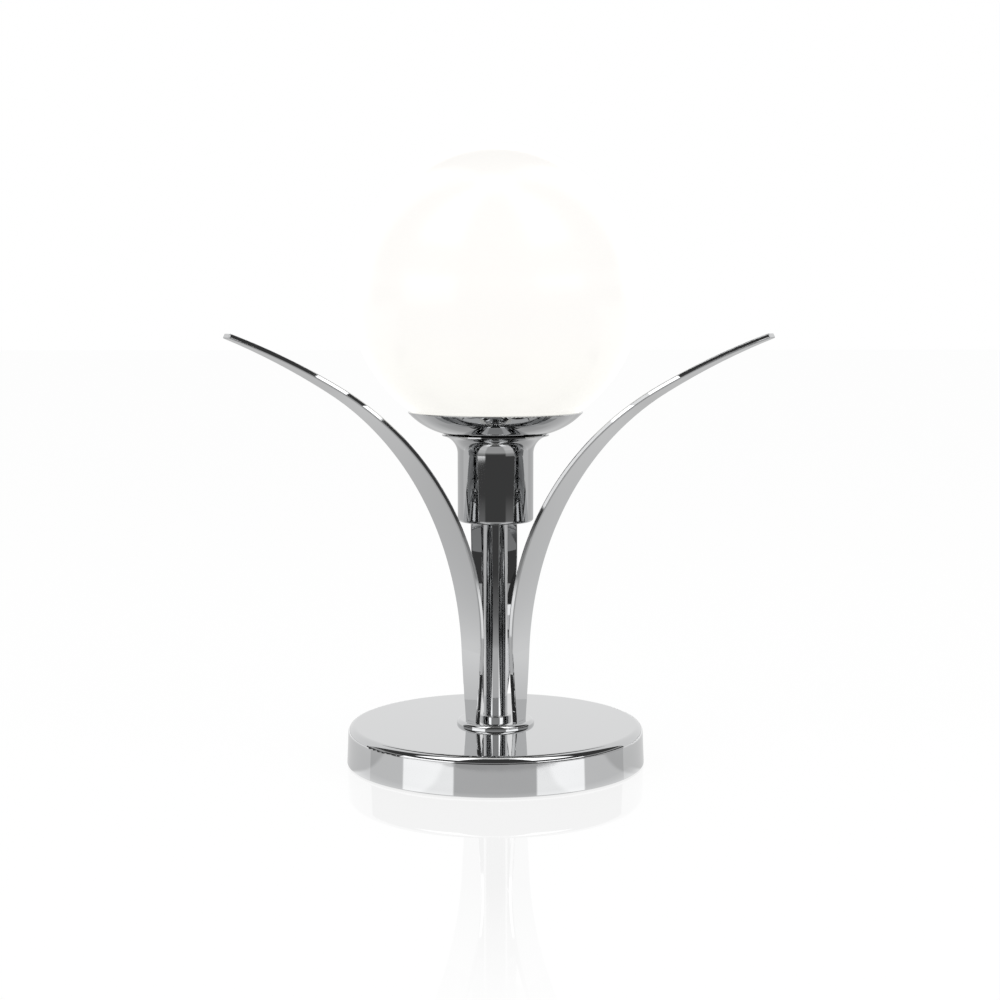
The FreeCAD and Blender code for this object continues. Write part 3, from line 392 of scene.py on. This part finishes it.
tent_paint = bpy.data.materials.new("tent_cloth")
tent_paint.use_nodes = True
tree = tent_paint.node_tree
tree.nodes.clear()
tent_glow = tree.nodes.new("ShaderNodeEmission")
tent_output = tree.nodes.new("ShaderNodeOutputMaterial")
tree.links.new(tent_glow.outputs[0], tent_output.inputs["Surface"])
parts = position_parts(tree)
ceiling = mixed(tree, sectors(tree, parts, [left_panel, right_panel]), dark_cloth, wing_glow)
ceiling = mixed(tree, sectors(tree, parts, rear_wings), ceiling, rear_wing_glow)
ceiling = mixed(tree, above(tree, reach_of(tree, parts), top_light_reach), top_light_glow, ceiling)
strip = mixed(tree, sectors(tree, parts, [left_panel, right_panel], strip_edge), strip_grey, strip_glow)
wall = mixed(tree, sectors(tree, parts, [left_panel]), dark_cloth, left_wall_glow)
wall = mixed(tree, above(tree, parts["Z"], strip_low), wall, strip)
wall = mixed(tree, above(tree, parts["Z"], strip_high), wall, dark_cloth)
cloth = mixed(tree, above(tree, parts["Z"], tent_height - top_margin), wall, ceiling)
tree.links.new(cloth, tent_glow.inputs["Color"])
tent.data.materials.append(tent_paint)
for_chrome_only(tent)

# ---------------------------------------------------------------------------------------------
# Base pad: a disc of black cellular rubber, punched from sheet and glued under the weight so that
# the lamp stands without scratching the table.
# ---------------------------------------------------------------------------------------------


def new_finish(name, colour, roughness, metallic=0.0):
    """A material with its surface shader set to a plain colour, gloss and metal value. A pattern
    that is laid over one of them later varies about that value."""
    finish = bpy.data.materials.new(name)
    finish.use_nodes = True
    surface = finish.node_tree.nodes["Principled BSDF"]
    surface.inputs["Base Color"].default_value = (*colour, 1.0)
    surface.inputs["Roughness"].default_value = roughness
    surface.inputs["Metallic"].default_value = metallic
    return finish, finish.node_tree, surface


def speckle(tree, per_metre, stretch=(1.0, 1.0, 1.0), detail=3.0):
    """A fine pattern fixed to the piece: per_metre counts its spots, stretch draws them out."""
    place = tree.nodes.new("ShaderNodeTexCoord")
    drawn = tree.nodes.new("ShaderNodeMapping")
    drawn.inputs["Scale"].default_value = stretch
    tree.links.new(place.outputs["Object"], drawn.inputs["Vector"])
    pattern = tree.nodes.new("ShaderNodeTexNoise")
    pattern.inputs["Scale"].default_value = per_metre
    pattern.inputs["Detail"].default_value = detail
    tree.links.new(drawn.outputs[0], pattern.inputs["Vector"])
    return pattern.outputs[0]


def between(tree, source, low, high, socket):
    """Drives a shader socket from low to high by the middle range of a pattern."""
    spread = tree.nodes.new("ShaderNodeMapRange")
    spread.inputs["From Min"].default_value = 0.3
    spread.inputs["From Max"].default_value = 0.7
    spread.inputs["To Min"].default_value = low
    spread.inputs["To Max"].default_value = high
    tree.links.new(source, spread.inputs["Value"])
    tree.links.new(spread.outputs[0], socket)


def vary_gloss(tree, source, surface, smooth, rough):
    """Lets the roughness wander from smooth to rough with a pattern."""
    between(tree, source, smooth, rough, surface.inputs["Roughness"])


def vary_colour(tree, source, first, second, socket):
    """Colours a surface from first to second by the middle range of a pattern."""
    mix = tree.nodes.new("ShaderNodeMix")
    mix.data_type = "RGBA"
    mix.inputs["A"].default_value = (*first, 1.0)
    mix.inputs["B"].default_value = (*second, 1.0)
    between(tree, source, 0.0, 1.0, mix.inputs["Factor"])
    tree.links.new(mix.outputs["Result"], socket)


def relief(tree, source, surface, depth, strength):
    """A fine relief of the given depth in metres."""
    bump = tree.nodes.new("ShaderNodeBump")
    bump.inputs["Distance"].default_value = depth
    bump.inputs["Strength"].default_value = strength
    tree.links.new(source, bump.inputs["Height"])
    tree.links.new(bump.outputs[0], surface.inputs["Normal"])


def dress(finish, *names):
    """Gives CAD pieces, as they are, a finish."""
    for name in names:
        nodes[name].data.materials.clear()
        nodes[name].data.materials.append(finish)


foam, tree, surface = new_finish("foam_rubber", colour=(0.022, 0.022, 0.023), roughness=0.85)
cells = speckle(tree, per_metre=900.0, detail=2.0)
cell_black = (0.012, 0.012, 0.013)
skin_black = (0.035, 0.035, 0.036)
vary_colour(tree, cells, cell_black, skin_black, surface.inputs["Base Color"])
relief(tree, cells, surface, depth=0.0003, strength=0.6)
dress(foam, "base_pad")

# ---------------------------------------------------------------------------------------------
# Base weight: a grey iron casting that fills the cover, painted thinly in black. The sand skin
# shows through the paint.
# ---------------------------------------------------------------------------------------------
iron, tree, surface = new_finish("cast_iron", colour=(0.03, 0.03, 0.032), roughness=0.6, metallic=0.3)
sand = speckle(tree, per_metre=700.0, detail=5.0)
clouds = speckle(tree, per_metre=60.0)
paint_black = (0.022, 0.022, 0.024)
worn_black = (0.055, 0.053, 0.052)
vary_colour(tree, clouds, paint_black, worn_black, surface.inputs["Base Color"])
vary_gloss(tree, sand, surface, smooth=0.45, rough=0.75)
relief(tree, sand, surface, depth=0.0004, strength=0.5)
dress(iron, "base_weight")

# ---------------------------------------------------------------------------------------------
# Base cover: steel drawn over the weight in one piece, ground, polished and chrome plated. Close
# up the plate has a very slight waviness and patches that are a little less sharp.
# ---------------------------------------------------------------------------------------------
chrome_grey = (0.555, 0.56, 0.565)


def chrome(name, stretch, ripple):
    """Polished chrome plate, its faint polishing marks drawn out along one direction."""
    finish, tree, surface = new_finish(name, chrome_grey, roughness=0.03, metallic=1.0)
    marks = speckle(tree, per_metre=60.0, stretch=stretch)
    vary_gloss(tree, marks, surface, smooth=0.015, rough=0.04)
    relief(tree, marks, surface, depth=0.0002, strength=ripple)
    return finish


dress(chrome("chrome_base", stretch=(1.0, 1.0, 1.0), ripple=0.02), "base_cover")

# ---------------------------------------------------------------------------------------------
# Cord inlet bush: a moulded black nylon bush snapped into the hole low in the cover's rear wall.
# Its skin has a fine spark-eroded grain.
# ---------------------------------------------------------------------------------------------
black_plastic, tree, surface = new_finish("black_plastic", colour=(0.018, 0.018, 0.019), roughness=0.5)
grain = speckle(tree, per_metre=2500.0, detail=2.0)
vary_gloss(tree, grain, surface, smooth=0.42, rough=0.6)
relief(tree, grain, surface, depth=0.0001, strength=0.3)
dress(black_plastic, "cord_inlet_bush")

# ---------------------------------------------------------------------------------------------
# Tie tube, nuts and washers: the threaded tube that clamps the lamp together, zinc plated like
# the other hidden steel parts. The zinc is bluish, with faint clouds.
# ---------------------------------------------------------------------------------------------
zinc, tree, surface = new_finish("zinc_steel", colour=(0.52, 0.54, 0.57), roughness=0.3, metallic=1.0)
clouds = speckle(tree, per_metre=220.0, detail=4.0)
bluish_zinc = (0.46, 0.49, 0.53)
pale_zinc = (0.60, 0.60, 0.58)
vary_colour(tree, clouds, bluish_zinc, pale_zinc, surface.inputs["Base Color"])
vary_gloss(tree, clouds, surface, smooth=0.22, rough=0.4)
relief(tree, speckle(tree, per_metre=1500.0), surface, depth=0.00005, strength=0.3)
dress(zinc, "tie_tube", "base_nut", "base_washer", "cup_nut", "cup_washer")

# ---------------------------------------------------------------------------------------------
# Earth lug and holder contacts: stamped and bent from brass strip, slightly dull where they were
# handled.
# ---------------------------------------------------------------------------------------------
brass, tree, surface = new_finish("brass", colour=(0.62, 0.45, 0.17), roughness=0.28, metallic=1.0)
tarnish = speckle(tree, per_metre=300.0, detail=4.0)
dull_brass = (0.52, 0.36, 0.12)
bright_brass = (0.70, 0.53, 0.22)
vary_colour(tree, tarnish, dull_brass, bright_brass, surface.inputs["Base Color"])
vary_gloss(tree, tarnish, surface, smooth=0.2, rough=0.42)
dress(brass, "earth_lug", "lampholder_contacts")

# ---------------------------------------------------------------------------------------------
# Leads: stranded copper in smooth extruded insulation, brown and blue up the tie tube to the
# holder, and a short green one with yellow stripes from the earth lug to the inlet.
# ---------------------------------------------------------------------------------------------
brown = (0.13, 0.05, 0.022)
dark_brown = (0.10, 0.038, 0.017)
blue = (0.015, 0.08, 0.33)
dark_blue = (0.012, 0.06, 0.26)
green = (0.06, 0.26, 0.03)
stripe_yellow = (0.75, 0.62, 0.04)


def slanting_stripes(tree, scale):
    """Even stripes that run round the lead at a slant."""
    place = tree.nodes.new("ShaderNodeTexCoord")
    stripes = tree.nodes.new("ShaderNodeTexWave")
    stripes.bands_direction = "DIAGONAL"
    stripes.inputs["Scale"].default_value = scale
    tree.links.new(place.outputs["Object"], stripes.inputs["Vector"])
    return stripes.outputs[1]


def insulation(name, first, second, striped=False):
    """Extruded insulation: a satin skin in two colours, which blend along very fine flow marks or
    lie in stripes."""
    finish, tree, surface = new_finish(name, first, roughness=0.4)
    flow = speckle(tree, per_metre=800.0)
    colouring = slanting_stripes(tree, scale=180.0) if striped else flow
    vary_colour(tree, colouring, first, second, surface.inputs["Base Color"])
    vary_gloss(tree, flow, surface, smooth=0.32, rough=0.5)
    return finish


dress(insulation("brown_insulation", brown, dark_brown), "live_lead")
dress(insulation("blue_insulation", blue, dark_blue), "neutral_lead")
dress(insulation("green_insulation", green, stripe_yellow, striped=True), "earth_lead")

# ---------------------------------------------------------------------------------------------
# Terminal block: a block moulded in ivory plastic, with six plated clamp screws. It sits in the
# weight's pocket and joins the leads behind the inlet.
# ---------------------------------------------------------------------------------------------
ivory, tree, surface = new_finish("ivory_plastic", colour=(0.70, 0.66, 0.53), roughness=0.42)
swirl = speckle(tree, per_metre=350.0)
deep_ivory = (0.66, 0.62, 0.49)
pale_ivory = (0.73, 0.69, 0.57)
vary_colour(tree, swirl, deep_ivory, pale_ivory, surface.inputs["Base Color"])
vary_gloss(tree, swirl, surface, smooth=0.35, rough=0.52)
dress(ivory, "terminal_block")
dress(zinc, "terminal_screws")

# ---------------------------------------------------------------------------------------------
# Rosette, leaves and stem: turned, cut and drawn steel, each polished and plated by itself. The
# leaves stand in the rosette's foot and lean away from the stem.
# ---------------------------------------------------------------------------------------------
dress(chrome("chrome_rosette", stretch=(1.0, 1.0, 3.0), ripple=0.02), "rosette")
dress(chrome("chrome_leaf", stretch=(1.0, 1.0, 0.15), ripple=0.02), "leaf_back", "leaf_left", "leaf_right")
dress(chrome("chrome_stem", stretch=(2.0, 2.0, 0.1), ripple=0.03), "stem_sleeve")

# ---------------------------------------------------------------------------------------------
# Holder cup: a deep cup with a flared mouth, spun from sheet, polished and plated. The plating
# shows faint upright marks. The threaded sleeve inside it is zinc plated.
# ---------------------------------------------------------------------------------------------
dress(chrome("chrome_cup", stretch=(2.0, 2.0, 0.15), ripple=0.03), "holder_cup")
dress(zinc, "holder_sleeve")

# ---------------------------------------------------------------------------------------------
# Gallery dish: spun to a shallow bowl with a thin rim, polished and plated. The thread ring, a
# zinc plated steel ring, clamps it on the cup's rim.
# ---------------------------------------------------------------------------------------------
dress(chrome("chrome_dish", stretch=(1.0, 1.0, 4.0), ripple=0.02), "gallery_dish")
dress(zinc, "thread_ring")

# ---------------------------------------------------------------------------------------------
# Thread of the ring: a rolled round-crested ridge that climbs the ring four times. The globe's
# collar screws down over it.
# ---------------------------------------------------------------------------------------------
thread_pitch = 0.002
thread_turns = 4
thread_crest = 0.00018
thread_foot = 0.00055
thread_start = 0.0011
crest_rounding = 0.00012
rounding_steps = 3
steps_per_turn = 96

ring_low, ring_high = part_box("thread_ring")
bpy.ops.mesh.primitive_plane_add(size=1.0, rotation=(math.radians(90.0), 0.0, 0.0),
                                 location=(ring_high.x, 0.0, ring_low.z + thread_start))
thread = bpy.context.object
thread.name = "thread_ridge"
thread.scale = (2.0 * thread_crest, thread_foot, 1.0)
bpy.ops.object.transform_apply(location=True, rotation=True, scale=True)
bpy.ops.object.mode_set(mode="EDIT")
bpy.ops.mesh.select_all(action="SELECT")
bpy.ops.mesh.bevel(offset=crest_rounding, segments=rounding_steps, affect="VERTICES")
bpy.ops.object.mode_set(mode="OBJECT")
climb = thread.modifiers.new("climb", "SCREW")
climb.axis = "Z"
climb.screw_offset = thread_pitch
climb.iterations = thread_turns
climb.steps = steps_per_turn
climb.render_steps = steps_per_turn
climb.use_smooth_shade = True
bpy.ops.object.modifier_apply(modifier="climb")
bpy.ops.object.mode_set(mode="EDIT")
bpy.ops.mesh.select_all(action="SELECT")
bpy.ops.mesh.normals_make_consistent(inside=False)
bpy.ops.object.mode_set(mode="OBJECT")
thread.data.materials.append(zinc)
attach(thread, "stand")

# ---------------------------------------------------------------------------------------------
# Lampholder: a body pressed from white ceramic and glazed, held on a plated steel bracket by two
# small screws.
# ---------------------------------------------------------------------------------------------
ceramic, tree, surface = new_finish("ceramic", colour=(0.80, 0.79, 0.74), roughness=0.25)
glaze = speckle(tree, per_metre=500.0, detail=4.0)
warm_glaze = (0.77, 0.76, 0.70)
white_glaze = (0.84, 0.83, 0.79)
vary_colour(tree, glaze, warm_glaze, white_glaze, surface.inputs["Base Color"])
vary_gloss(tree, glaze, surface, smooth=0.18, rough=0.35)
relief(tree, speckle(tree, per_metre=1400.0), surface, depth=0.00008, strength=0.25)
dress(ceramic, "lampholder_body")
dress(zinc, "lampholder_bracket", "lampholder_screws")

# ---------------------------------------------------------------------------------------------
# Neck gasket: a flat ring cut from milky silicone rubber. It lies in the dish, and the globe's
# collar rests on it.
# ---------------------------------------------------------------------------------------------
milkiness = 0.4

silicone, tree, surface = new_finish("clear_rubber", colour=(0.62, 0.62, 0.60), roughness=0.45)
surface.inputs["Transmission Weight"].default_value = milkiness
haze = speckle(tree, per_metre=600.0)
vary_gloss(tree, haze, surface, smooth=0.35, rough=0.55)
dress(silicone, "neck_gasket")

# ---------------------------------------------------------------------------------------------
# Neck collar: a ring turned from aluminium, with a thread inside, bonded into the globe's
# opening. The tool leaves fine marks round it.
# ---------------------------------------------------------------------------------------------
aluminium, tree, surface = new_finish("aluminium", colour=(0.80, 0.81, 0.82), roughness=0.3, metallic=1.0)
turning = speckle(tree, per_metre=120.0, stretch=(0.02, 0.02, 60.0), detail=2.0)
vary_gloss(tree, turning, surface, smooth=0.2, rough=0.42)
relief(tree, turning, surface, depth=0.00003, strength=0.4)
dress(aluminium, "neck_collar")

# ---------------------------------------------------------------------------------------------
# Opal globe: blown white glass with a fired gloss, lit from inside by the bulb. It glows evenly,
# a trace warmer low down, where the dish hides part of the light.
# ---------------------------------------------------------------------------------------------
globe_glow = 0.785
globe_sheen = 0.35
warm_below = 0.14
even_above = 0.20
warm_light = (1.0, 0.985, 0.94)
even_light = (1.0, 0.98, 0.955)

opal, tree, surface = new_finish("opal_glass", colour=(0.28, 0.28, 0.275), roughness=0.22)
surface.inputs["Emission Strength"].default_value = globe_glow
surface.inputs["Specular IOR Level"].default_value = globe_sheen
glow_height = tree.nodes.new("ShaderNodeMapRange")
glow_height.inputs["From Min"].default_value = warm_below
glow_height.inputs["From Max"].default_value = even_above
tree.links.new(position_parts(tree)["Z"], glow_height.inputs["Value"])
vary_colour(tree, glow_height.outputs[0], warm_light, even_light, surface.inputs["Emission Color"])
blown = speckle(tree, per_metre=35.0)
vary_gloss(tree, blown, surface, smooth=0.18, rough=0.27)
relief(tree, blown, surface, depth=0.0003, strength=0.05)
dress(opal, "glass_globe")

# ---------------------------------------------------------------------------------------------
# Bulb: a small two-pin capsule. A white moulded base carries a clear glass dome over a strip of
# yellow-coated light chips. The dome's thin wall hardly bends light, so its index is set low.
# ---------------------------------------------------------------------------------------------
dome_index = 1.15
chip_glow = 0.3

white_plastic, tree, surface = new_finish("white_plastic", colour=(0.80, 0.80, 0.79), roughness=0.3)
flow = speckle(tree, per_metre=400.0)
dull_white = (0.77, 0.77, 0.76)
bright_white = (0.83, 0.83, 0.82)
vary_colour(tree, flow, dull_white, bright_white, surface.inputs["Base Color"])
vary_gloss(tree, flow, surface, smooth=0.24, rough=0.38)
dress(white_plastic, "bulb_base")

clear_glass, tree, surface = new_finish("clear_glass", colour=(0.97, 0.98, 0.98), roughness=0.02)
surface.inputs["Transmission Weight"].default_value = 1.0
surface.inputs["IOR"].default_value = dome_index
relief(tree, speckle(tree, per_metre=150.0), surface, depth=0.0001, strength=0.05)
dress(clear_glass, "bulb_dome")

dress(zinc, "bulb_pins")

yellow, tree, surface = new_finish("yellow_coating", colour=(0.85, 0.62, 0.10), roughness=0.45)
surface.inputs["Emission Strength"].default_value = chip_glow
chips = speckle(tree, per_metre=900.0)
deep_yellow = (0.80, 0.55, 0.07)
pale_yellow = (0.90, 0.70, 0.16)
amber_light = (1.0, 0.75, 0.2)
yellow_light = (1.0, 0.85, 0.4)
vary_colour(tree, chips, deep_yellow, pale_yellow, surface.inputs["Base Color"])
vary_colour(tree, chips, amber_light, yellow_light, surface.inputs["Emission Color"])
dress(yellow, "bulb_light_strip")
